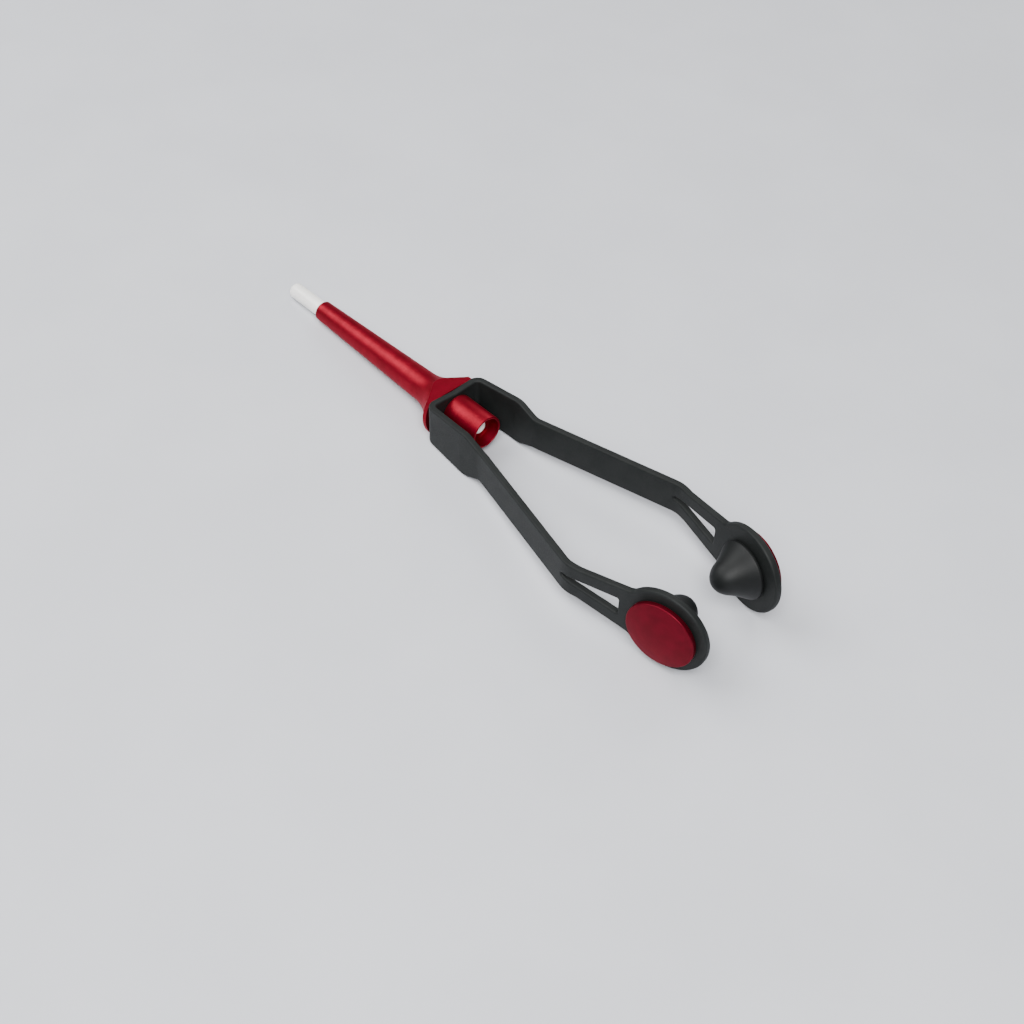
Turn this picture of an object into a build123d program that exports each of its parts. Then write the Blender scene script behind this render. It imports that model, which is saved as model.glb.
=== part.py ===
"""Bobbin holder for fly tying: a sprung yoke carries a ceramic-lined thread barrel at its bridge and a
braked spool cone at the end of each arm. Millimetres. X runs back along the thread from the bridge's
front face, the tip lies at -X, the yoke lies flat in XY, and Z is up."""
import os
from math import cos, radians, sin, sqrt
from build123d import *

os.makedirs("parts", exist_ok=True)

# Thread tube of white ceramic
tube_diameter = 3.3
tube_bore = 1.0
tube_seat_diameter = 3.0
tube_exposed = 9.6
tube_tip_round = 0.75
tube_mouth_round = 0.3
tube_funnel_diameter = 2.6
tube_funnel_depth = 1.8

# Anodised barrel, its trumpet flare and the spigot that passes through the bridge
barrel_length = 40.2
barrel_front_diameter = 4.2
barrel_rear_diameter = 6.2
barrel_lip = 0.25
flare_length = 8.0
flare_diameter = 13.2
flare_rim = 0.9
flare_across_flats = 8.0
spigot_diameter = 5.0
spigot_reach = 6.2

# Sleeve nut that clamps the bridge against the flare
sleeve_diameter = 6.9
sleeve_length = 8.8
sleeve_chamfer = 0.2
sleeve_mouth = 0.5

# Moulded yoke: plan widths are between the inner faces
strap_thickness = 1.4
bridge_width = 11.0
bridge_height = 8.0
bridge_corner = 0.9
shoulder_height = 10.4
shoulder_start = 11.0
shoulder_end = 16.5
shoulder_width = 12.4
shoulder_round = 8.0
taper_start = 12.0
taper_end = 16.2
taper_round = 4.0
arm_height = 7.0
elbow_distance = 46.8
elbow_width = 27.5
elbow_round = 5.0

# Flexing root of each arm: a round butt that seats in a hollow of the bridge
root_distance = 13.8
root_radius = 1.5
root_clearance = 0.05

# Toed-in leg with its thread slot and the ring at its end
toe_angle = 11.0
ring_distance = 20.0
ring_diameter = 17.0
leg_rear_height = 10.2
leg_lap = 5.0
leg_blend = 2.2
slot_start = -3.2
slot_length = 14.0
slot_width = 3.7
slot_round = 0.35

# Spindle: bush in the ring, axle and spool cone
axle_diameter = 3.0
running_clearance = 0.05
bush_wall = 0.65
bush_flange_diameter = 6.8
bush_flange_thickness = 0.5
cone_gap = 0.3
cone_diameter = 11.2
cone_rim = 0.5
cone_length = 6.8
cone_nose_diameter = 6.6
cone_nose_length = 2.9
cone_flank_slope = 1.6
axle_head_flats = 4.4
axle_head_thickness = 1.5
axle_head_depth = 1.8
axle_flat_depth = 0.4

# Brake stack outside the ring
friction_washer_diameter = 11.2
friction_washer_thickness = 0.35
friction_washer_bore = 5.0
spring_diameter = 10.0
spring_bore = 3.3
spring_thickness = 0.2
spring_rise = 0.25
thrust_washer_diameter = 8.8
thrust_washer_thickness = 0.3
contact_gap = 0.03

# Drag knob
knob_diameter = 13.0
knob_gap = 0.3
knob_height = 2.0
knob_edge_round = 0.9
knob_dome = 0.4
knob_face_diameter = 5.0
knob_wall = 0.7
knob_roof_thickness = 0.6
knob_thread_depth = 0.8

# Sizes that follow
half_thickness = strap_thickness / 2
tube_radius = tube_diameter / 2
tube_seat_radius = tube_seat_diameter / 2
spigot_radius = spigot_diameter / 2
spigot_end = strap_thickness + spigot_reach
tube_tip = -barrel_length - tube_exposed
root_y = shoulder_width / 2 + half_thickness
axle_radius = axle_diameter / 2
axle_hole_radius = axle_radius + running_clearance
bush_radius = axle_hole_radius + bush_wall
barrel_axis = Axis((0, 0, 0), (1, 0, 0))

# Levels along a ring's outward axis, from the middle of the ring's thickness
flange_level = -half_thickness - bush_flange_thickness
cone_floor = flange_level - running_clearance
cone_base = -half_thickness - cone_gap
cone_tip = cone_base - cone_length
axle_head_level = cone_floor - axle_head_depth
friction_level = half_thickness + friction_washer_thickness
spring_level = friction_level + contact_gap
spring_top = spring_level + spring_thickness + spring_rise
thrust_level = spring_top + contact_gap
knob_seat = thrust_level + thrust_washer_thickness
knob_base = half_thickness + knob_gap
knob_top = knob_base + knob_height
knob_radius = knob_diameter / 2
knob_roof = knob_top - knob_dome - knob_roof_thickness
knob_boss_radius = thrust_washer_diameter / 2
axle_end = knob_seat + knob_thread_depth - contact_gap


# Height of the yoke from the side: tall at the bridge, then an easy taper down to the arms
with BuildSketch(Plane.XZ) as side_view:
    with BuildLine():
        rear = elbow_distance + leg_lap
        upper = FilletPolyline(
            (0, bridge_height / 2), (strap_thickness, bridge_height / 2), (taper_start, shoulder_height / 2),
            (taper_end, arm_height / 2), (rear, arm_height / 2), radius=taper_round)
        lower = mirror(upper, about=Plane.XZ)
        Line(upper @ 0, lower @ 0)
        Line(upper @ 1, lower @ 1)
    make_face()

# Ceramic tube: a nose that shoulders on the barrel, and a liner with a funnel where the thread enters
with BuildPart() as ceramic_tube:
    with BuildSketch(Plane.XZ):
        with BuildLine():
            Polyline(
                (tube_tip, tube_bore / 2), (tube_tip, tube_radius), (-barrel_length, tube_radius),
                (-barrel_length, tube_seat_radius), (spigot_end, tube_seat_radius),
                (spigot_end, tube_funnel_diameter / 2), (spigot_end - tube_funnel_depth, tube_bore / 2),
                close=True)
        make_face()
    revolve(axis=barrel_axis)
    tip_edges = ceramic_tube.faces().sort_by(Axis.X)[0].edges().sort_by(SortBy.LENGTH)
    fillet(tip_edges[-1], tube_tip_round)
    fillet(ceramic_tube.faces().sort_by(Axis.X)[0].edges().sort_by(SortBy.LENGTH)[0], tube_mouth_round)
ceramic_tube.part.label = "ceramic_tube"
export_step(ceramic_tube.part, "parts/ceramic_tube.step")

# Barrel: slow taper, trumpet flare with two flats, and the spigot behind it
with BuildPart() as barrel:
    with BuildSketch(Plane.XZ):
        with BuildLine():
            taper = Line((-barrel_length, barrel_front_diameter / 2), (-flare_length, barrel_rear_diameter / 2))
            flare = TangentArc(taper @ 1, (-flare_rim, flare_diameter / 2), tangent=taper % 1)
            Polyline(
                flare @ 1, (0, flare_diameter / 2), (0, spigot_radius), (spigot_end, spigot_radius),
                (spigot_end, tube_seat_radius), (-barrel_length, tube_seat_radius), taper @ 0)
        make_face()
    revolve(axis=barrel_axis)
    front_rim = barrel.faces().sort_by(Axis.X)[0].edges().sort_by(SortBy.LENGTH)[-1]
    chamfer(front_rim, barrel_lip)
    with BuildSketch(Plane.XZ):
        for level in (-flare_diameter, flare_diameter):
            with Locations((-flare_length / 2, level)):
                Rectangle(flare_length, 2 * flare_diameter - flare_across_flats)
    extrude(amount=flare_diameter, both=True, mode=Mode.SUBTRACT)
barrel.part.label = "barrel"
export_step(barrel.part, "parts/barrel.step")

# Sleeve nut: screws onto the spigot behind the bridge and guides the thread in
with BuildPart() as sleeve_nut:
    with BuildSketch(Plane.YZ.offset(strap_thickness)):
        Circle(sleeve_diameter / 2)
        Circle(spigot_radius, mode=Mode.SUBTRACT)
    extrude(amount=sleeve_length)
    rear_edges = sleeve_nut.faces().sort_by(Axis.X)[-1].edges().sort_by(SortBy.LENGTH)
    chamfer(rear_edges[-1], sleeve_chamfer)
    chamfer(sleeve_nut.faces().sort_by(Axis.X)[-1].edges().sort_by(SortBy.LENGTH)[0], sleeve_mouth)
sleeve_nut.part.label = "sleeve_nut"
export_step(sleeve_nut.part, "parts/sleeve_nut.step")

# Bridge of the yoke: a U of strap with the spigot's hole and a hollow seat for each arm's root
with BuildPart() as yoke_bridge:
    with BuildSketch():
        with BuildLine():
            FilletPolyline(
                (root_distance, -shoulder_width / 2), (shoulder_start, -shoulder_width / 2),
                (strap_thickness, -bridge_width / 2), (strap_thickness, bridge_width / 2),
                (shoulder_start, shoulder_width / 2), (root_distance, shoulder_width / 2),
                radius=[shoulder_round, bridge_corner, bridge_corner, shoulder_round])
            offset(amount=strap_thickness, side=Side.LEFT)
        make_face()
    extrude(amount=shoulder_height / 2, both=True)
    extrude(side_view.sketch, amount=shoulder_width, both=True, mode=Mode.INTERSECT)
    with BuildSketch(Plane.YZ):
        Circle(spigot_radius)
    extrude(amount=strap_thickness, mode=Mode.SUBTRACT)
    with BuildSketch():
        with Locations((root_distance, -root_y), (root_distance, root_y)):
            Circle(root_radius + root_clearance)
    extrude(amount=shoulder_height, both=True, mode=Mode.SUBTRACT)
yoke_bridge.part.label = "yoke_bridge"
export_step(yoke_bridge.part, "parts/yoke_bridge.step")

for side, sign in (("left", -1), ("right", 1)):
    along = Vector(cos(radians(toe_angle)), -sign * sin(radians(toe_angle)), 0)
    outward = Vector(sin(radians(toe_angle)), sign * cos(radians(toe_angle)), 0)
    elbow = Vector(elbow_distance, sign * elbow_width / 2, 0)
    leg_plane = Plane(elbow, x_dir=along, z_dir=outward)
    ring_centre = elbow + along * ring_distance + outward * half_thickness
    ring_plane = Plane(ring_centre, x_dir=along, z_dir=outward)
    turning_plane = Plane(ring_centre, x_dir=along, z_dir=along.cross(outward))
    ring_axis = Axis(ring_centre, outward)

    # Arm: diverging strap with a round root, toed-in leg with a thread slot, and the end ring
    with BuildPart() as arm:
        with BuildSketch():
            with BuildLine():
                lap = elbow + along * leg_lap
                FilletPolyline(
                    (root_distance, sign * shoulder_width / 2), (shoulder_end, sign * shoulder_width / 2),
                    elbow, lap, radius=[shoulder_round, elbow_round])
                offset(amount=strap_thickness, side=Side.LEFT if sign > 0 else Side.RIGHT)
            make_face()
        extrude(amount=shoulder_height / 2, both=True)
        with BuildSketch():
            with Locations((root_distance, sign * root_y)):
                Circle(root_radius)
                Rectangle(2 * root_radius, strap_thickness, mode=Mode.INTERSECT)
        extrude(amount=shoulder_height / 2, both=True)
        extrude(side_view.sketch, amount=elbow_width, both=True, mode=Mode.INTERSECT)
        with BuildSketch(leg_plane) as paddle:
            with BuildLine():
                leg_end = ring_distance - sqrt(ring_diameter ** 2 - leg_rear_height ** 2) / 2
                Polyline(
                    (leg_lap / 2, arm_height / 2), (leg_end, leg_rear_height / 2), (ring_distance, 0),
                    (leg_end, -leg_rear_height / 2), (leg_lap / 2, -arm_height / 2), close=True)
            make_face()
            with Locations((ring_distance, 0)):
                Circle(ring_diameter / 2)
            necks = paddle.vertices().sort_by(Axis.X)[2:4]
            fillet(necks, leg_blend)
            with Locations((ring_distance, 0)):
                Circle(bush_radius, mode=Mode.SUBTRACT)
        extrude(amount=strap_thickness)
        with BuildSketch(leg_plane) as slot:
            with BuildLine():
                Polyline(
                    (slot_start, 0), (slot_start + slot_length, slot_width / 2),
                    (slot_start + slot_length, -slot_width / 2), close=True)
            make_face()
            fillet(slot.vertices(), slot_round)
        extrude(amount=2 * strap_thickness, both=True, mode=Mode.SUBTRACT)
    arm.part.label = f"{side}_arm"
    export_step(arm.part, f"parts/{side}_arm.step")

    # Flanged bush: pressed into the ring from the spool side
    with BuildPart() as bush:
        with BuildSketch(ring_plane.offset(-half_thickness)):
            Circle(bush_radius)
            Circle(axle_hole_radius, mode=Mode.SUBTRACT)
        extrude(amount=strap_thickness)
        with BuildSketch(ring_plane.offset(flange_level)):
            Circle(bush_flange_diameter / 2)
            Circle(axle_hole_radius, mode=Mode.SUBTRACT)
        extrude(amount=bush_flange_thickness)
    bush.part.label = f"{side}_bush"
    export_step(bush.part, f"parts/{side}_bush.step")

    # Axle: hexagon head held in the cone, plain journal, and a flat along the threaded end
    with BuildPart() as axle:
        with BuildSketch(ring_plane.offset(axle_head_level)):
            Circle(axle_radius)
        extrude(amount=axle_end - axle_head_level)
        with BuildSketch(ring_plane.offset(axle_head_level - axle_head_thickness)):
            RegularPolygon(axle_head_flats / 2, 6, major_radius=False)
        extrude(amount=axle_head_thickness)
        with BuildSketch(ring_plane.offset(spring_level)):
            with Locations((axle_diameter - axle_flat_depth, 0)):
                Rectangle(axle_diameter, axle_diameter)
        extrude(amount=axle_end - spring_level, mode=Mode.SUBTRACT)
    axle.part.label = f"{side}_axle"
    export_step(axle.part, f"parts/{side}_axle.step")

    # Spool cone: a bell that centres one end of the spool, moulded round the axle's head
    with BuildPart() as spool_cone:
        with BuildSketch(turning_plane):
            with BuildLine():
                rim = Polyline(
                    (0, cone_base), (cone_diameter / 2, cone_base), (cone_diameter / 2, cone_base - cone_rim))
                nose = EllipticalCenterArc(
                    (0, cone_tip + cone_nose_length), cone_nose_diameter / 2, cone_nose_length,
                    start_angle=270, arc_size=90)
                Spline(rim @ 1, nose @ 1, tangents=((-1, -cone_flank_slope), (0, -1)))
                Line((0, cone_tip), (0, cone_base))
            make_face()
        revolve(axis=ring_axis)
        with BuildSketch(ring_plane.offset(cone_floor)):
            Circle(bush_flange_diameter / 2 + cone_gap)
        extrude(amount=cone_base - cone_floor, mode=Mode.SUBTRACT)
        with BuildSketch(ring_plane.offset(axle_head_level)):
            Circle(axle_radius)
        extrude(amount=cone_floor - axle_head_level, mode=Mode.SUBTRACT)
        with BuildSketch(ring_plane.offset(axle_head_level - axle_head_thickness)):
            RegularPolygon(axle_head_flats / 2, 6, major_radius=False)
        extrude(amount=axle_head_thickness, mode=Mode.SUBTRACT)
    spool_cone.part.label = f"{side}_spool_cone"
    export_step(spool_cone.part, f"parts/{side}_spool_cone.step")

    # Friction washer: bonded to the outside of the ring
    with BuildPart() as friction_washer:
        with BuildSketch(ring_plane.offset(half_thickness)):
            Circle(friction_washer_diameter / 2)
            Circle(friction_washer_bore / 2, mode=Mode.SUBTRACT)
        extrude(amount=friction_washer_thickness)
    friction_washer.part.label = f"{side}_friction_washer"
    export_step(friction_washer.part, f"parts/{side}_friction_washer.step")

    # Disc spring: a coned washer whose outer rim rubs on the friction washer
    with BuildPart() as disc_spring:
        with BuildSketch(turning_plane):
            with BuildLine():
                Polyline(
                    (spring_diameter / 2, spring_level), (spring_diameter / 2, spring_level + spring_thickness),
                    (spring_bore / 2, spring_top), (spring_bore / 2, spring_level + spring_rise), close=True)
            make_face()
        revolve(axis=ring_axis)
    disc_spring.part.label = f"{side}_disc_spring"
    export_step(disc_spring.part, f"parts/{side}_disc_spring.step")

    # Thrust washer: keyed to the axle's flat, so that turning the knob doesn't wind the spring
    with BuildPart() as thrust_washer:
        with BuildSketch(ring_plane.offset(thrust_level)):
            Circle(thrust_washer_diameter / 2)
            with BuildSketch(mode=Mode.PRIVATE) as key:
                Circle(axle_hole_radius)
                with Locations((axle_diameter - axle_flat_depth + running_clearance, 0)):
                    Rectangle(axle_diameter, axle_diameter + 2 * running_clearance, mode=Mode.SUBTRACT)
            add(key.sketch, mode=Mode.SUBTRACT)
        extrude(amount=thrust_washer_thickness)
    thrust_washer.part.label = f"{side}_thrust_washer"
    export_step(thrust_washer.part, f"parts/{side}_thrust_washer.step")

    # Drag knob: a shallow domed cap that screws onto the axle and presses the brake stack
    with BuildPart() as drag_knob:
        with BuildSketch(turning_plane) as knob_half:
            with BuildLine():
                wall = Polyline(
                    (knob_face_diameter / 2, knob_top), (0, knob_top), (0, knob_seat),
                    (knob_boss_radius, knob_seat), (knob_boss_radius, knob_roof),
                    (knob_radius - knob_wall, knob_roof), (knob_radius - knob_wall, knob_base),
                    (knob_radius, knob_base), (knob_radius, knob_top - knob_dome))
                TangentArc(wall @ 0, wall @ 1, tangent=(1, 0))
            make_face()
            crown_edge = knob_half.vertices().sort_by(Axis.X)[-2:].sort_by(Axis.Y)[-1]
            fillet(crown_edge, knob_edge_round)
        revolve(axis=ring_axis)
        with BuildSketch(ring_plane.offset(knob_seat)):
            Circle(axle_hole_radius)
        extrude(amount=knob_thread_depth, mode=Mode.SUBTRACT)
    drag_knob.part.label = f"{side}_drag_knob"
    export_step(drag_knob.part, f"parts/{side}_drag_knob.step")
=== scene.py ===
import math

import bmesh
import bpy
from mathutils import Matrix, Vector
from mathutils.geometry import delaunay_2d_cdt, interpolate_bezier


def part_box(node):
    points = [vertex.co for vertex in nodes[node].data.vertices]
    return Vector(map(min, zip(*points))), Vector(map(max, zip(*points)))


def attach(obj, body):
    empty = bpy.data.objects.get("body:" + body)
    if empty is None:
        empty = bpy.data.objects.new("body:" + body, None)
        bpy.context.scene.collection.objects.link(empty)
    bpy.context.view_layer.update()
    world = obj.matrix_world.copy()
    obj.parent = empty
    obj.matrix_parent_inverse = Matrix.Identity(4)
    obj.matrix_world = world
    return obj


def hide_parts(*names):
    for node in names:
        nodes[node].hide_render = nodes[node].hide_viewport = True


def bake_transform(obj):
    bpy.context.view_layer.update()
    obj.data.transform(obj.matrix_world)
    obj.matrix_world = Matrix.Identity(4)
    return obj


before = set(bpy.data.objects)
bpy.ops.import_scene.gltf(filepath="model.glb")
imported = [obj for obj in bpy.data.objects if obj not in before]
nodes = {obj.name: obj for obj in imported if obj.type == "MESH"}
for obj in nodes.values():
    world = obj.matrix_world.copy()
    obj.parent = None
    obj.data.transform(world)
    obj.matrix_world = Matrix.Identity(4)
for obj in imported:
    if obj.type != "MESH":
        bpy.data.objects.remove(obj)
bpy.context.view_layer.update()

# Yoke: one moulding of dark filled nylon, a strap that goes round the bridge, out along both arms and ends
# in a flat ring on each side. It is drawn as a flat blank with rounded edges, and then bent along its plan.
mm = 0.001
strap = 1.4
edge_round = 0.4
bridge_half, shoulder_half, elbow_half = 5.5, 6.2, 13.75
shoulder_start, shoulder_end, elbow_distance = 11.0, 16.5, 46.8
bridge_top, shoulder_top, arm_top, leg_top = 4.0, 5.2, 3.5, 5.1
taper_start, taper_end, taper_round = 12.0, 16.2, 4.0
corner_round, shoulder_round, elbow_round = 0.9, 8.0, 5.0
toe = math.radians(11.0)
ring_distance, ring_radius, leg_start, leg_blend = 20.0, 8.5, 2.5, 2.2
slot_start, slot_end, slot_half, slot_round = -3.2, 10.8, 1.85, 0.35
spigot_radius, bush_radius = 2.5, 2.2
arm_pivot, bend_reach = 13.8, 5.2
round_steps, bend_steps, hinge_steps, neck_steps, ring_steps, hole_steps = 6, 12, 8, 10, 64, 48


def rounded(points, radii, steps):
    """Corners of a line turned into arcs of the given radii."""
    line = [Vector(points[0])]
    for before, corner, after, radius in zip(points, points[1:], points[2:], radii):
        corner = Vector(corner)
        back, on = (Vector(before) - corner).normalized(), (Vector(after) - corner).normalized()
        half = back.angle(on) / 2
        centre = corner + (back + on).normalized() * radius / math.sin(half)
        first = corner + back * radius / math.tan(half) - centre
        last = corner + on * radius / math.tan(half) - centre
        turn = first.angle(last)
        for k in range(steps + 1):
            f = k / steps
            swung = first * math.sin((1 - f) * turn) + last * math.sin(f * turn)
            line.append(centre + swung / math.sin(turn))
    return line + [Vector(points[-1])]


def arc(centre, radius, first, last, steps):
    """Points of an arc from its first angle to its last."""
    angles = [first + (last - first) * k / steps for k in range(steps + 1)]
    return [Vector((centre[0] + radius * math.cos(a), centre[1] + radius * math.sin(a))) for a in angles]


leg_way = Vector((math.cos(toe), -math.sin(toe)))
elbow = Vector((elbow_distance, elbow_half))
plan_corners = [Vector((strap, 0)), Vector((strap, bridge_half)), Vector((shoulder_start, shoulder_half)),
                Vector((shoulder_end, shoulder_half)), elbow,
                elbow + leg_way * (ring_distance + ring_radius + strap)]
plan_rounds = [0, corner_round, shoulder_round, shoulder_round, elbow_round, 0]

# Length along the plan at each corner, and the lengths where the blank has to be cut so that it can bend
corner_length, bend_cuts, run, saved = [0.0], [], 0.0, 0.0
for before, corner, after, radius in zip(plan_corners, plan_corners[1:], plan_corners[2:], plan_rounds[1:]):
    run += (corner - before).length
    turn = (corner - before).angle(after - corner)
    trim = radius * math.tan(turn / 2)
    bend_cuts += [run + saved - trim + radius * turn * k / bend_steps for k in range(bend_steps + 1)]
    saved += radius * turn - 2 * trim
    corner_length.append(run + saved)


def length_at(x):
    """Length along the plan of the point of the arm that lies this far behind the bridge's front."""
    for k in range(1, len(corner_length) - 1):
        low, high = plan_corners[k].x, plan_corners[k + 1].x
        if x <= high:
            share = (x - low) / (high - low)
            return corner_length[k] + share * (corner_length[k + 1] - corner_length[k])


bend_cuts += [length_at(arm_pivot + bend_reach * k / hinge_steps)
              for k in range(-hinge_steps, hinge_steps + 1)]
leg_zero = corner_length[-1]
ring_middle = Vector((leg_zero + ring_distance, 0))

# Upper edge of the blank: bridge, taper over the shoulder, arm, widening leg, neck and ring
taper = rounded([(0, bridge_top), (strap, bridge_top), (taper_start, shoulder_top), (taper_end, arm_top),
                 (elbow_distance, arm_top)], [taper_round] * 3, round_steps)
upper = [Vector((0, bridge_top))] + [Vector((length_at(p.x), p.y)) for p in taper[round_steps + 2:-1]]
leg_end = ring_distance - math.sqrt(ring_radius ** 2 - leg_top ** 2)
leg_foot, leg_head = Vector((leg_zero + leg_start, arm_top)), Vector((leg_zero + leg_end, leg_top))
leg_line = (leg_head - leg_foot).normalized()
leg_side = Vector((-leg_line.y, leg_line.x))
from_ring = leg_foot + leg_side * leg_blend - ring_middle
along = from_ring.dot(leg_line)
neck_run = -along - math.sqrt(along ** 2 - from_ring.length_squared + (ring_radius + leg_blend) ** 2)
neck = ring_middle + from_ring + leg_line * neck_run
neck_first = math.atan2(-leg_side.y, -leg_side.x)
neck_last = math.atan2(ring_middle.y - neck.y, ring_middle.x - neck.x)
ring_first = math.atan2(neck.y, neck.x - ring_middle.x)
upper += [leg_foot] + arc(neck, leg_blend, neck_first, neck_last, neck_steps)
upper += arc(ring_middle, ring_radius, ring_first, 0, ring_steps)[1:]
quarters = [upper, [Vector((p.x, -p.y)) for p in reversed(upper[:-1])],
            [Vector((-p.x, -p.y)) for p in upper[1:]], [Vector((-p.x, p.y)) for p in reversed(upper[1:-1])]]
slot = rounded([(slot_end, 0), (slot_end, slot_half), (slot_start, 0), (slot_end, -slot_half), (slot_end, 0)],
               [slot_round] * 3, round_steps)[:-1]
last_turn = math.tau * (hole_steps - 1) / hole_steps
loops = [[p for quarter in quarters for p in quarter],
         arc((0, 0), spigot_radius, 0, last_turn, hole_steps - 1)]
for sign in (-1, 1):
    loops.append([Vector((sign * (leg_zero + p.x), p.y)) for p in slot])
    loops.append(arc((sign * ring_middle.x, 0), bush_radius, 0, last_turn, hole_steps - 1))

# Flat blank: rounded edges along the outline and its holes, and the two broad faces filled between them
edge_steps, same_point = 5, 1e-6
quarter = [math.pi / 2 * k / edge_steps for k in range(edge_steps + 1)]
upper_edge = [(edge_round * (1 - math.cos(a)), strap / 2 - edge_round * (1 - math.sin(a))) for a in quarter]
edge_profile = [(inset, -depth) for inset, depth in reversed(upper_edge)] + upper_edge
blank = bmesh.new()
back_rims, front_rims, outline_edges = [], [], []
for number, loop in enumerate(loops):
    spin = sum(a.x * b.y - b.x * a.y for a, b in zip(loop, loop[1:] + loop[:1]))
    if (spin > 0) != (number == 0):
        loop.reverse()
    outs = []
    for before, here, after in zip(loop[-1:] + loop[:-1], loop, loop[1:] + loop[:1]):
        come, go = (here - before).normalized(), (after - here).normalized()
        out = Vector((come.y + go.y, -come.x - go.x)).normalized()
        outs.append(out / out.dot(Vector((go.y, -go.x))))
    rims = [[blank.verts.new((*(here - out * inset), depth)) for here, out in zip(loop, outs)]
            for inset, depth in edge_profile]
    for low, high in zip(rims, rims[1:]):
        for k in range(len(loop)):
            blank.faces.new((low[k - 1], low[k], high[k], high[k - 1]))
    first = len(back_rims)
    outline_edges += [(first + k, first + (k + 1) % len(loop)) for k in range(len(loop))]
    back_rims += rims[0]
    front_rims += rims[-1]
flat_points = [vertex.co.xy for vertex in back_rims]
_, _, triangles, came_from, _, _ = delaunay_2d_cdt(flat_points, outline_edges, [], 0, same_point)
for triangle in triangles:
    corners = [came_from[k][0] for k in triangle]
    spot = sum((flat_points[k] for k in corners), Vector((0, 0))) / 3
    crossed = 0
    for k, m in outline_edges:
        a, b = flat_points[k], flat_points[m]
        if (a.y > spot.y) != (b.y > spot.y) and spot.x < a.x + (b.x - a.x) * (spot.y - a.y) / (b.y - a.y):
            crossed += 1
    if crossed % 2:
        blank.faces.new([front_rims[k] for k in corners])
        blank.faces.new([back_rims[k] for k in reversed(corners)])

# Plan of one side, from the middle of the bridge to past the ring; each corner's radius is its own round
least_round = 0.001
plan_curve = bpy.data.curves.new("yoke_plan", "CURVE")
plan_curve.dimensions = "3D"
plan_spline = plan_curve.splines.new("POLY")
plan_spline.points.add(len(plan_corners) - 1)
for point, place, radius in zip(plan_spline.points, plan_corners, plan_rounds):
    point.co = (place.x, place.y, 0, 1)
    point.radius = max(radius, least_round)
plan = bpy.data.objects.new("yoke_plan", plan_curve)
bpy.context.scene.collection.objects.link(plan)

# The bend: a point of the blank goes to its length along the plan, and stands off it by its depth in the
# strap. Which way the plan runs there, and how deep the point lies, stay on the mesh for the shading.
bend = bpy.data.node_groups.new("bend_along_plan", "GeometryNodeTree")
sockets = {}
for name, kind in (("Geometry", "NodeSocketGeometry"), ("Plan", "NodeSocketObject"),
                   ("Half Strap", "NodeSocketFloat"), ("Side", "NodeSocketFloat"),
                   ("Material", "NodeSocketMaterial")):
    sockets[name] = bend.interface.new_socket(name, in_out="INPUT", socket_type=kind).identifier
bend.interface.new_socket("Geometry", in_out="OUTPUT", socket_type="NodeSocketGeometry")


def add(tree, kind, settings=(), **inputs):
    """A node with its settings, and its inputs taken from a value or from another node's output."""
    node = tree.nodes.new(kind)
    for name, value in dict(settings).items():
        setattr(node, name, value)
    for name, value in inputs.items():
        socket = node.inputs[int(name[1:])] if name[1:].isdigit() else node.inputs[name.replace("_", " ")]
        if isinstance(value, bpy.types.NodeSocket):
            tree.links.new(value, socket)
        else:
            socket.default_value = value
    return node


entry = add(bend, "NodeGroupInput").outputs
flat = add(bend, "ShaderNodeSeparateXYZ", Vector=add(bend, "GeometryNodeInputPosition").outputs[0]).outputs
there = add(bend, "GeometryNodeObjectInfo", Object=entry["Plan"]).outputs["Geometry"]
smooth_plan = add(bend, "GeometryNodeFilletCurve", {"mode": "POLY"}, Curve=there, Count=bend_steps,
                  Radius=add(bend, "GeometryNodeInputRadius").outputs[0])
length = add(bend, "ShaderNodeMath", {"operation": "ABSOLUTE"}, _0=flat["X"]).outputs[0]
sample = add(bend, "GeometryNodeSampleCurve", {"mode": "LENGTH"}, Curves=smooth_plan.outputs[0],
             Length=length).outputs
way = add(bend, "ShaderNodeSeparateXYZ", Vector=sample["Tangent"]).outputs
minus = add(bend, "ShaderNodeMath", {"operation": "MULTIPLY"}, _0=way["Y"], _1=-1.0).outputs[0]
outward = add(bend, "ShaderNodeCombineXYZ", X=minus, Y=way["X"]).outputs[0]
depth = add(bend, "ShaderNodeMath", {"operation": "ADD"}, _0=flat["Z"], _1=entry["Half Strap"]).outputs[0]
offset = add(bend, "ShaderNodeVectorMath", {"operation": "SCALE"}, _0=outward, Scale=depth).outputs[0]
height = add(bend, "ShaderNodeCombineXYZ", Z=flat["Y"]).outputs[0]
stood = add(bend, "ShaderNodeVectorMath", {"operation": "ADD"}, _0=sample["Position"], _1=offset).outputs[0]
raised = add(bend, "ShaderNodeVectorMath", {"operation": "ADD"}, _0=stood, _1=height).outputs[0]
mirror = add(bend, "ShaderNodeCombineXYZ", X=1.0, Y=entry["Side"], Z=1.0).outputs[0]
placed = add(bend, "ShaderNodeVectorMath", {"operation": "MULTIPLY"}, _0=raised, _1=mirror).outputs[0]
metres = add(bend, "ShaderNodeVectorMath", {"operation": "SCALE"}, _0=placed, Scale=mm).outputs[0]
share = add(bend, "ShaderNodeMath", {"operation": "DIVIDE"}, _0=flat["Z"], _1=entry["Half Strap"]).outputs[0]
kept_way = add(bend, "GeometryNodeStoreNamedAttribute", {"data_type": "FLOAT_VECTOR"},
               Geometry=entry["Geometry"], Name="plan_way", Value=sample["Tangent"]).outputs[0]
kept_share = add(bend, "GeometryNodeStoreNamedAttribute", Geometry=kept_way, Name="strap_share",
                 Value=share).outputs[0]
bent = add(bend, "GeometryNodeSetPosition", Geometry=kept_share, Position=metres).outputs[0]
real = add(bend, "GeometryNodeRealizeInstances", Geometry=bent).outputs[0]
dressed = add(bend, "GeometryNodeSetMaterial", Geometry=real, Material=entry["Material"]).outputs[0]
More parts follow.
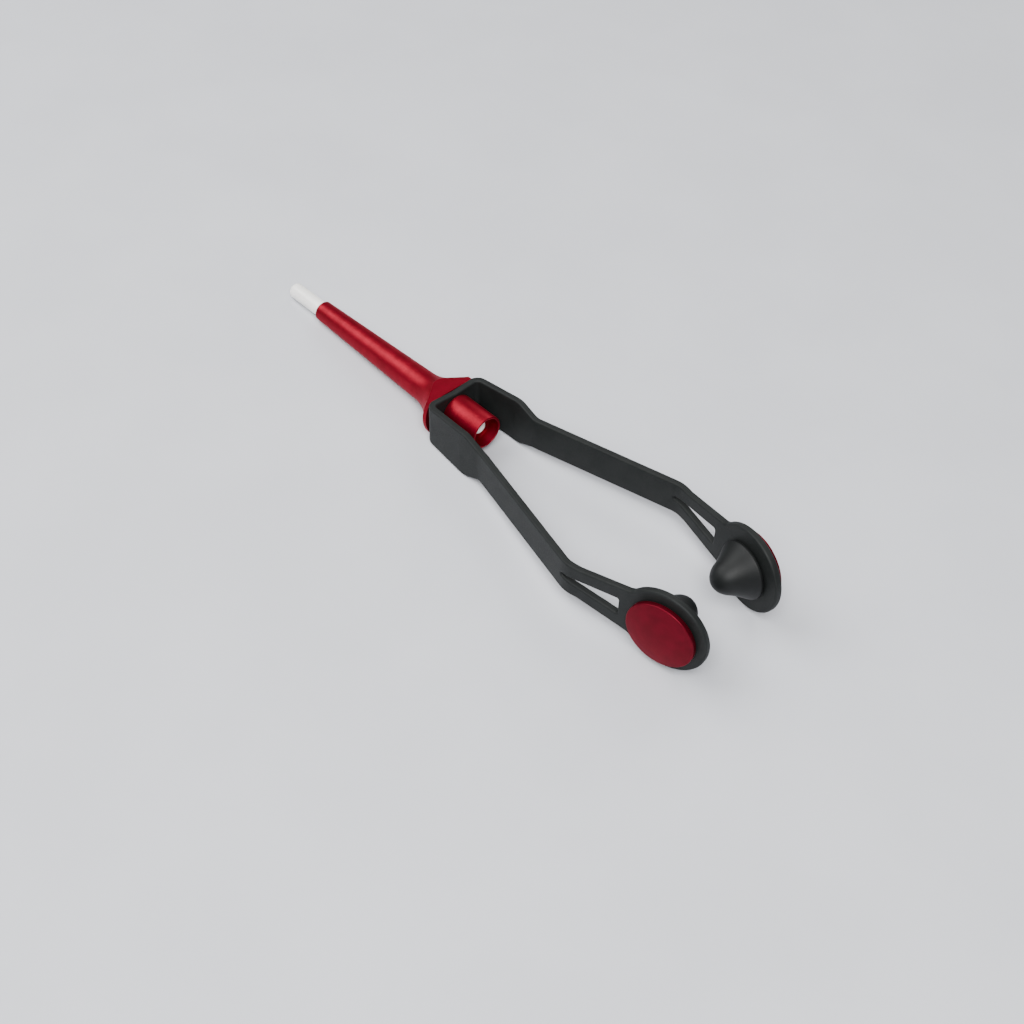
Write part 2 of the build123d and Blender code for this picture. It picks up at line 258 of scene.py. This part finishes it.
add(bend, "NodeGroupOutput", Geometry=dressed)

# Nylon: near black, with the fine matt grain of the mould, cloudy glass fibre and a faint parting line
grain = bpy.data.node_groups.new("moulded_grain", "ShaderNodeTree")
for name, kind, where in (("Vector", "NodeSocketVector", "INPUT"),
                          ("Grain Scale", "NodeSocketFloat", "INPUT"),
                          ("Cloud Scale", "NodeSocketFloat", "INPUT"),
                          ("Height", "NodeSocketFloat", "OUTPUT"), ("Cloud", "NodeSocketFloat", "OUTPUT")):
    grain.interface.new_socket(name, in_out=where, socket_type=kind)
entry = add(grain, "NodeGroupInput").outputs
pores = add(grain, "ShaderNodeTexNoise", Vector=entry["Vector"], Scale=entry["Grain Scale"], Detail=3.0,
            Roughness=0.6)
clouds = add(grain, "ShaderNodeTexNoise", Vector=entry["Vector"], Scale=entry["Cloud Scale"], Detail=4.0,
             Roughness=0.55)
add(grain, "NodeGroupOutput", Height=pores.outputs[0], Cloud=clouds.outputs[0])
noise_low, noise_high = 0.3, 0.7


def finish(name, metallic=0.0, coat=0.0, coat_roughness=0.1, specular=0.5):
    """A new material, its tree and its shader, with the values that are the same all over."""
    material = bpy.data.materials.new(name)
    material.use_nodes = True
    shader = material.node_tree.nodes["Principled BSDF"]
    shader.inputs["Metallic"].default_value = metallic
    shader.inputs["Coat Weight"].default_value = coat
    shader.inputs["Coat Roughness"].default_value = coat_roughness
    shader.inputs["Specular IOR Level"].default_value = specular
    return material, material.node_tree, shader


def vary(tree, socket, factor, dark, light, low=noise_low, high=noise_high):
    """A value or a colour that goes from dark to light while factor goes from low to high."""
    spread = add(tree, "ShaderNodeMapRange", {"interpolation_type": "SMOOTHSTEP"}, Value=factor, From_Min=low,
                 From_Max=high)
    if isinstance(dark, float):
        spread.interpolation_type = "LINEAR"
        spread.inputs["To Min"].default_value, spread.inputs["To Max"].default_value = dark, light
        tree.links.new(spread.outputs[0], socket)
        return
    mix = add(tree, "ShaderNodeMix", {"data_type": "RGBA"}, _0=spread.outputs[0])
    mix.inputs[6].default_value, mix.inputs[7].default_value = (*dark, 1), (*light, 1)
    tree.links.new(mix.outputs[2], socket)


def emboss(tree, shader, height, strength, distance):
    """Relief of this height on the whole surface."""
    bump = add(tree, "ShaderNodeBump", Height=height, Strength=strength, Distance=distance)
    tree.links.new(bump.outputs[0], shader.inputs["Normal"])


def moulded(name, dark, light, rough_low, rough_high, grain_scale, specular):
    """Moulded plastic with the grain of its tool."""
    material, tree, shader = finish(name, specular=specular)
    place = add(tree, "ShaderNodeTexCoord").outputs["Object"]
    marks = add(tree, "ShaderNodeGroup", {"node_tree": grain}, Vector=place, Grain_Scale=grain_scale,
                Cloud_Scale=260.0).outputs
    vary(tree, shader.inputs["Base Color"], marks["Cloud"], dark, light)
    vary(tree, shader.inputs["Roughness"], marks["Height"], rough_low, rough_high)
    return material, tree, shader, marks["Height"]


nylon_dark, nylon_light = (0.0066, 0.0079, 0.0076), (0.0098, 0.0112, 0.0108)
seam_half, seam_fade, seam_height = 0.02, 0.14, 2.0
nylon, tree, shader, pores = moulded("yoke_nylon", nylon_dark, nylon_light, rough_low=0.52, rough_high=0.68,
                                     grain_scale=5200.0, specular=0.21)
level = add(tree, "ShaderNodeAttribute", {"attribute_name": "strap_share"}).outputs["Fac"]
off_line = add(tree, "ShaderNodeMath", {"operation": "ABSOLUTE"}, _0=level).outputs[0]
seam = add(tree, "ShaderNodeMapRange", {"interpolation_type": "SMOOTHSTEP"}, Value=off_line,
           From_Min=seam_half, From_Max=seam_fade, To_Min=seam_height, To_Max=0.0).outputs[0]
relief = add(tree, "ShaderNodeMath", {"operation": "ADD"}, _0=pores, _1=seam).outputs[0]
emboss(tree, shader, relief, strength=0.35, distance=0.00002)

# The halves: each is cut where it has to bend, parted in the middle of the bridge, closed there and bent
on_cut, square_on = 1e-5, 0.999
for side, sign in (("left", -1), ("right", 1)):
    half = blank.copy()
    for cut in sorted(bend_cuts):
        bmesh.ops.bisect_plane(half, geom=half.verts[:] + half.edges[:] + half.faces[:], dist=on_cut,
                               plane_co=(sign * cut, 0, 0), plane_no=(1, 0, 0))
    bmesh.ops.bisect_plane(half, geom=half.verts[:] + half.edges[:] + half.faces[:], dist=on_cut,
                           plane_co=(0, 0, 0), plane_no=(-sign, 0, 0), clear_outer=True)
    bmesh.ops.holes_fill(half, edges=[e for e in half.edges if e.is_boundary], sides=0)
    bmesh.ops.recalc_face_normals(half, faces=half.faces)
    half.verts.index_update()
    # A point on a broad face keeps that face's direction, so that only the rounded edge is shaded as a curve
    way_out = {}
    for vertex in half.verts:
        broad = [f.normal.z for f in vertex.link_faces if abs(f.normal.z) > square_on]
        around = [f for f in vertex.link_faces if abs(f.normal.x) < square_on or vertex.co.x]
        rest = sum((f.normal * f.calc_area() for f in around), Vector())
        way_out[vertex.index] = Vector((0, 0, math.copysign(1, broad[0]))) if broad else rest.normalized()
    bmesh.ops.reverse_faces(half, faces=half.faces)
    mesh = bpy.data.meshes.new(f"{side}_yoke_half")
    half.to_mesh(mesh)
    half.free()
    yoke = bpy.data.objects.new(f"{side}_yoke_half", mesh)
    bpy.context.scene.collection.objects.link(yoke)
    modifier = yoke.modifiers.new("bend", "NODES")
    modifier.node_group = bend
    modifier[sockets["Plan"]] = plan
    modifier[sockets["Half Strap"]] = strap / 2
    modifier[sockets["Side"]] = float(sign)
    modifier[sockets["Material"]] = nylon
    bent_mesh = bpy.data.meshes.new_from_object(yoke.evaluated_get(bpy.context.evaluated_depsgraph_get()))
    yoke.modifiers.remove(modifier)
    yoke.data = bent_mesh
    bent_mesh.name = f"{side}_yoke_half"
    ways = [Vector(item.vector) for item in bent_mesh.attributes["plan_way"].data]
    turned = []
    for index, way in enumerate(ways):
        lie = way_out[index]
        out = Vector((-way.y, way.x, 0))
        facing = way * lie.x * sign + Vector((0, 0, lie.y)) + out * lie.z
        turned.append(Vector((facing.x, sign * facing.y, facing.z)).normalized())
    bent_mesh.attributes.remove(bent_mesh.attributes["plan_way"])
    for polygon in bent_mesh.polygons:
        polygon.use_smooth = True
    bent_mesh.normals_split_custom_set_from_vertices(turned)
    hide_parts(f"{side}_arm", "yoke_bridge")
    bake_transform(yoke)
bpy.data.objects.remove(plan)

# Barrel: aluminium turned from bar, with two flats milled on its flare, bead blasted and anodised red. Its
# spigot goes through the bridge. The lathe leaves very fine rings that the blasting has almost taken away.
barrel_dark, barrel_light, red_gloss = (0.19, 0.0024, 0.0110), (0.25, 0.0038, 0.0165), (1.0, 0.45, 0.5, 1.0)
blasted_smooth, blasted_rough = 0.40, 0.52
band_share, tone_low, tone_high, coarse_rings = 0.4, 0.5, 0.9, 0.12
lathe = bpy.data.node_groups.new("lathe_rings", "ShaderNodeTree")
for name, kind, where in (("Vector", "NodeSocketVector", "INPUT"), ("Rings", "NodeSocketFloat", "INPUT"),
                          ("Height", "NodeSocketFloat", "OUTPUT"), ("Bands", "NodeSocketFloat", "OUTPUT")):
    lathe.interface.new_socket(name, in_out=where, socket_type=kind)
entry = add(lathe, "NodeGroupInput").outputs
axes = add(lathe, "ShaderNodeSeparateXYZ", Vector=entry["Vector"]).outputs
spoke = add(lathe, "ShaderNodeCombineXYZ", Y=axes["Y"], Z=axes["Z"]).outputs[0]
radius = add(lathe, "ShaderNodeVectorMath", {"operation": "LENGTH"}, _0=spoke).outputs["Value"]
feed = add(lathe, "ShaderNodeMath", {"operation": "ADD"}, _0=axes["X"], _1=radius).outputs[0]
rings = add(lathe, "ShaderNodeTexNoise", {"noise_dimensions": "1D"}, W=feed, Scale=entry["Rings"], Detail=2.0)
coarse = add(lathe, "ShaderNodeMath", {"operation": "MULTIPLY"}, _0=entry["Rings"],
             _1=coarse_rings).outputs[0]
bands = add(lathe, "ShaderNodeTexNoise", {"noise_dimensions": "1D"}, W=feed, Scale=coarse, Detail=3.0)
add(lathe, "NodeGroupOutput", Height=rings.outputs[0], Bands=bands.outputs[0])


def anodised(name, centre, angle, dark, light):
    """Red anodising on a turned part whose axis goes through centre at this angle in the yoke's plane."""
    material, tree, shader = finish(name, metallic=0.85, coat=0.08, coat_roughness=0.35)
    shader.inputs["Specular Tint"].default_value = red_gloss
    place = add(tree, "ShaderNodeTexCoord").outputs["Object"]
    turned_place = add(tree, "ShaderNodeMapping", {"vector_type": "TEXTURE"}, Vector=place, Location=centre,
                       Rotation=(0, 0, angle)).outputs[0]
    marks = add(tree, "ShaderNodeGroup", {"node_tree": lathe}, Vector=turned_place, Rings=4200.0).outputs
    blast = add(tree, "ShaderNodeGroup", {"node_tree": grain}, Vector=place, Grain_Scale=9000.0,
                Cloud_Scale=420.0).outputs
    tone = add(tree, "ShaderNodeMath", {"operation": "MULTIPLY_ADD"}, _0=marks["Bands"],
               _1=band_share, _2=blast["Cloud"]).outputs[0]
    vary(tree, shader.inputs["Base Color"], tone, dark, light, low=tone_low, high=tone_high)
    vary(tree, shader.inputs["Roughness"], blast["Height"], blasted_smooth, blasted_rough)
    relief = add(tree, "ShaderNodeMath", {"operation": "ADD"}, _0=marks["Height"],
                 _1=blast["Height"]).outputs[0]
    emboss(tree, shader, relief, strength=0.12, distance=0.00001)
    return material


def dress(node, material):
    """A node's solid shown with this material."""
    slots = nodes[node].data.materials
    slots.clear()
    slots.append(material)


barrel_red = anodised("barrel_red", (0, 0, 0), 0.0, barrel_dark, barrel_light)
dress("barrel", barrel_red)

# Ceramic tube: a polished white oxide tube cemented into the barrel. The thread runs through it, so its tip
# is rounded and its rear end, which stands a little farther into the sleeve than the solid's, opens in a
# small funnel.
tube_tip, barrel_mouth, tube_end = -49.8, -40.2, 8.3
tube_bore, tube_radius, seat_radius, funnel_radius, funnel_depth = 0.5, 1.65, 1.5, 0.9, 1.5
tip_round, bore_round, step_round, end_round, funnel_round = 0.75, 0.3, 0.03, 0.4, 0.15
ceramic_dark, ceramic_light = (0.92, 0.90, 0.855), (0.96, 0.945, 0.91)
polished_smooth, polished_rough = 0.24, 0.32
spokes, sharp_turn, doubled = 96, math.radians(35.0), 1e-8
tip_steps, rim_steps = 6, 4


def spun(name, profile, centre, outward, material):
    """A closed profile of radius and level, the level counted outwards from the centre, spun on that axis."""
    across, upright = outward.cross(Vector((0, 0, 1))), Vector((0, 0, 1))
    shape = bmesh.new()
    rows = []
    for radius, level in profile:
        turns = [math.tau * k / spokes for k in range(spokes if radius else 1)]
        spokes_out = [(across * math.cos(a) + upright * math.sin(a)) * radius for a in turns]
        row = [shape.verts.new((centre + outward * level + spoke) * mm) for spoke in spokes_out]
        rows.append(row if radius else row * spokes)
    for low, high in zip(rows, rows[1:]):
        for k in range(spokes):
            shape.faces.new(dict.fromkeys((low[k - 1], low[k], high[k], high[k - 1])))
    bmesh.ops.remove_doubles(shape, verts=shape.verts, dist=doubled)
    bmesh.ops.recalc_face_normals(shape, faces=shape.faces)
    mesh = bpy.data.meshes.new(name)
    shape.to_mesh(mesh)
    shape.free()
    mesh.shade_smooth()
    mesh.set_sharp_from_angle(angle=sharp_turn)
    mesh.materials.append(material)
    piece = bpy.data.objects.new(name, mesh)
    bpy.context.scene.collection.objects.link(piece)
    return piece


ceramic, tree, shader = finish("ceramic", coat=0.35, coat_roughness=0.08)
place = add(tree, "ShaderNodeTexCoord").outputs["Object"]
marks = add(tree, "ShaderNodeGroup", {"node_tree": grain}, Vector=place, Grain_Scale=2600.0,
            Cloud_Scale=180.0).outputs
vary(tree, shader.inputs["Base Color"], marks["Cloud"], ceramic_dark, ceramic_light)
vary(tree, shader.inputs["Roughness"], marks["Height"], polished_smooth, polished_rough)
emboss(tree, shader, marks["Height"], strength=0.04, distance=0.00001)
tube_axis = Vector((1, 0, 0))
tube_corners = [(tube_bore, 0), (tube_bore, tube_tip), (tube_radius, tube_tip), (tube_radius, barrel_mouth),
                (seat_radius, barrel_mouth), (seat_radius, tube_end), (funnel_radius, tube_end),
                (tube_bore, tube_end - funnel_depth), (tube_bore, 0)]
tube_rounds = [bore_round, tip_round, step_round, step_round, end_round, funnel_round, funnel_round]
tube_line = rounded(tube_corners, tube_rounds, tip_steps)
tube = spun("ceramic_liner", tube_line, Vector(), tube_axis, ceramic)
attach(tube, "frame")
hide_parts("ceramic_tube")

# Sleeve nut: turned from the same bar and anodised with the barrel. It screws onto the spigot behind the
# bridge and clamps the yoke against the flare; its rear is bored out to a thin rim round the tube's end.
sleeve_start, sleeve_end, sleeve_radius, rim_bore, bore_step = 1.4, 10.2, 3.45, 3.0, 7.7
bore_middle, outer_break, inner_break = 4.0, 0.18, 0.08
sleeve_corners = [(spigot_radius, bore_middle), (spigot_radius, sleeve_start), (sleeve_radius, sleeve_start),
                  (sleeve_radius, sleeve_end), (rim_bore, sleeve_end), (rim_bore, bore_step),
                  (spigot_radius, bore_step), (spigot_radius, bore_middle)]
sleeve_breaks = [inner_break, outer_break, outer_break, inner_break, inner_break, inner_break]
sleeve_line = rounded(sleeve_corners, sleeve_breaks, rim_steps)
sleeve = spun("clamp_sleeve", sleeve_line, Vector(), tube_axis, barrel_red)
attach(sleeve, "frame")
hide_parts("sleeve_nut")

# Spool cones: a satin black bell moulded round each axle's head, with a hollow that clears the bush. Its
# profile is spun on the ring's own axis, which is toed in; the flank is fuller than the solid's and the rim
# has a small round.
cone_radius, cone_base, cone_rim, cone_tip = 5.6, 1.0, 0.5, 7.8
rim_round, flank_slope = 0.15, 1.48
nose_radius, nose_length, nose_lean = 3.62, 4.82, math.radians(30.0)
hollow_radius, hollow_floor = 3.7, 1.25
shank_radius, head_radius, head_top, head_end = 1.5, 2.54, 3.05, 4.55
acetal_dark, acetal_light = (0.0032, 0.0039, 0.0039), (0.0052, 0.0061, 0.0061)
nose_steps, flank_steps = 16, 20
middle = elbow + leg_way * ring_distance + Vector((-leg_way.y, leg_way.x)) * strap / 2
acetal, tree, shader, pores = moulded("cone_acetal", acetal_dark, acetal_light, rough_low=0.48,
                                      rough_high=0.56, grain_scale=4200.0, specular=0.24)
emboss(tree, shader, pores, strength=0.15, distance=0.00001)
nose_turns = [nose_lean + (math.pi / 2 - nose_lean) * k / nose_steps for k in range(nose_steps)]
nose = [Vector((nose_radius * math.cos(a), cone_tip - nose_length * (1 - math.sin(a)))) for a in nose_turns]
ridge = Vector((cone_radius, cone_base + cone_rim))
pull = (nose[0] - ridge).length / 3
leave = Vector((-1, flank_slope)).normalized() * pull
arrive = Vector((-nose_radius * math.sin(nose_lean), nose_length * math.cos(nose_lean))).normalized() * pull
flank = interpolate_bezier(ridge, ridge + leave, nose[0] - arrive, nose[0], flank_steps)
rim_corners = [(hollow_radius, cone_base), (cone_radius, cone_base), ridge, flank[1]]
rim = rounded(rim_corners, [rim_round] * 2, rim_steps)
bell = [(0, head_end), (head_radius, head_end), (head_radius, head_top), (shank_radius, head_top),
        (shank_radius, hollow_floor), (hollow_radius, hollow_floor), *rim, *flank[2:], *nose[1:],
        (0, cone_tip)]
for side, sign in (("left", -1), ("right", 1)):
    centre = Vector((middle.x, sign * middle.y, 0))
    inward = -Vector((math.sin(toe), sign * math.cos(toe), 0))
    cone = spun(f"{side}_cone_bell", bell, centre, inward, acetal)
    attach(cone, f"{side}_spindle")
    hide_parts(f"{side}_spool_cone")

# Drag knobs: a turned cap on the outside of each ring, anodised red; its red is kept darker than the barrel's
# as painted shade, where the knobs lie in shadow. It screws onto the axle and covers the brake; its domed
# face meets the thin wall in a crisp edge that is only just broken.
knob_radius, knob_wall, knob_base, knob_edge, knob_top = 6.7, 0.8, 1.0, 2.0, 3.0
edge_break, seat_level = 0.18, 1.86
thread_radius, thread_end = 1.55, 2.66
# Painted shade: the knobs' red range is darker than the barrel's to stand for the shadow the knobs lie in.
shaded_knob_dark, shaded_knob_light = (0.098, 0.0011, 0.0078), (0.132, 0.0018, 0.0112)
dome_steps = 24
dome_radius = (knob_radius ** 2 + (knob_top - knob_edge) ** 2) / (2 * (knob_top - knob_edge))
dome_turn = math.asin(knob_radius / dome_radius)
dome = arc((0, knob_top - dome_radius), dome_radius, math.pi / 2 - dome_turn, math.pi / 2, dome_steps)
wall_inside = knob_radius - knob_wall
cup_corners = [(wall_inside, knob_base), (knob_radius, knob_base), (knob_radius, knob_edge), dome[1]]
cup = rounded(cup_corners, [edge_break] * 2, rim_steps)
cap = [(0, thread_end), (thread_radius, thread_end), (thread_radius, seat_level), (wall_inside, seat_level),
       *cup, *dome[2:-1], (0, knob_top)]
for side, sign in (("left", -1), ("right", 1)):
    centre = Vector((middle.x, sign * middle.y, 0))
    outward = Vector((math.sin(toe), sign * math.cos(toe), 0))
    angle = sign * (math.pi / 2 - toe)
    knob_red = anodised(f"{side}_knob_red", centre * mm, angle, shaded_knob_dark, shaded_knob_light)
    knob = spun(f"{side}_knob_cap", cap, centre, outward, knob_red)
    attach(knob, f"{side}_drag_knob")
    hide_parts(f"{side}_drag_knob")

# Brake and bearing: brass bush pressed into the ring, steel axle, felt washer bonded to the ring, coned steel
# spring and keyed steel washer. The knob and the cone cover nearly all of them.


def worked(name, dark, light, rough_low=0.25, rough_high=0.4, metallic=1.0, grain_scale=6000.0,
           distance=0.00001):
    """Plain metal, or with other values felt, of an even colour and grain."""
    material, tree, shader = finish(name, metallic=metallic)
    place = add(tree, "ShaderNodeTexCoord").outputs["Object"]
    marks = add(tree, "ShaderNodeGroup", {"node_tree": grain}, Vector=place, Grain_Scale=grain_scale,
                Cloud_Scale=500.0).outputs
    vary(tree, shader.inputs["Base Color"], marks["Cloud"], dark, light)
    vary(tree, shader.inputs["Roughness"], marks["Height"], rough_low, rough_high)
    emboss(tree, shader, marks["Height"], strength=0.3, distance=distance)
    return material


brass = worked("bush_brass", (0.52, 0.36, 0.13), (0.64, 0.47, 0.2))
steel = worked("plain_steel", (0.42, 0.43, 0.44), (0.56, 0.57, 0.58))
felt = worked("pressed_felt", (0.24, 0.22, 0.18), (0.36, 0.34, 0.29), rough_low=0.85, rough_high=0.98,
              metallic=0.0, grain_scale=5000.0, distance=0.00008)
for side in ("left", "right"):
    dress(f"{side}_bush", brass)
    dress(f"{side}_friction_washer", felt)
    for piece in ("axle", "disc_spring", "thrust_washer"):
        dress(f"{side}_{piece}", steel)

# Floor: a plain pale sheet of paper. The holder lies on its two rings and on its ceramic tip, so the sheet
# slopes gently from the tip to the rings.
sheet_half = 6.0
sheet_dark, sheet_light = (0.56, 0.57, 0.605), (0.59, 0.60, 0.635)
sheet_smooth, sheet_rough = 0.6, 0.7
ring_low, tip_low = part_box("left_arm")[0].z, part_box("ceramic_tube")[0].z
tip_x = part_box("ceramic_tube")[0].x + tip_round * mm
slope = (tip_low - ring_low) / (middle.x * mm - tip_x)
floor_mesh = bpy.data.meshes.new("floor")
corners = [(x * sheet_half, y * sheet_half) for x, y in ((-1, -1), (1, -1), (1, 1), (-1, 1))]
floor_mesh.from_pydata([(x, y, tip_low - slope * (x - tip_x)) for x, y in corners], [], [(0, 1, 2, 3)])
floor = bpy.data.objects.new("floor", floor_mesh)
bpy.context.scene.collection.objects.link(floor)
paper, tree, shader = finish("pale_sheet", specular=0.2)
place = add(tree, "ShaderNodeTexCoord").outputs["Object"]
marks = add(tree, "ShaderNodeGroup", {"node_tree": grain}, Vector=place, Grain_Scale=900.0,
            Cloud_Scale=30.0).outputs
vary(tree, shader.inputs["Base Color"], marks["Cloud"], sheet_dark, sheet_light)
vary(tree, shader.inputs["Roughness"], marks["Height"], sheet_smooth, sheet_rough)
floor_mesh.materials.append(paper)

# Light: a soft box high on the camera's side, a wide one above the tip and a weak one behind, in a dim even
# room. All three are aimed at the sleeve, just behind the bridge.
aim = Vector((0.01, 0, 0))
room_colour, room_strength = (0.93, 0.96, 1.0, 1), 0.17
room = bpy.data.worlds.new("room")
room.use_nodes = True
room.node_tree.nodes["Background"].inputs["Color"].default_value = room_colour
room.node_tree.nodes["Background"].inputs["Strength"].default_value = room_strength
bpy.context.scene.world = room
for name, place, size, power in (("key", (0.30, -0.26, 0.50), 0.40, 7.0),
                                 ("front", (-0.36, -0.20, 0.52), 0.50, 5.0),
                                 ("behind", (-0.12, 0.52, 0.42), 0.40, 1.8)):
    lamp = bpy.data.lights.new(name, "AREA")
    lamp.size, lamp.energy = size, power
    light = bpy.data.objects.new(name, lamp)
    turned = (Vector(place) - aim).to_track_quat("Z", "Y").to_matrix().to_4x4()
    light.matrix_world = Matrix.Translation(place) @ turned
    bpy.context.scene.collection.objects.link(light)

# Camera: held above the left arm, looking forward and down along the barrel. Its three directions are those
# of the picture's right side, of its top, and back from the picture to the eye.
eye = Vector((0.17205, -0.14942, 0.19948))
right, up, back = (0.68069, 0.73230, 0.02012), (-0.52817, 0.47155, 0.70618), (0.50765, -0.49131, 0.70775)
lens = bpy.data.cameras.new("camera")
lens.lens, lens.sensor_width, lens.clip_start = 54.83, 36.0, 0.01
camera = bpy.data.objects.new("camera", lens)
camera.matrix_world = Matrix.Translation(eye) @ Matrix((right, up, back)).transposed().to_4x4()
bpy.context.scene.collection.objects.link(camera)
bpy.context.scene.camera = camera
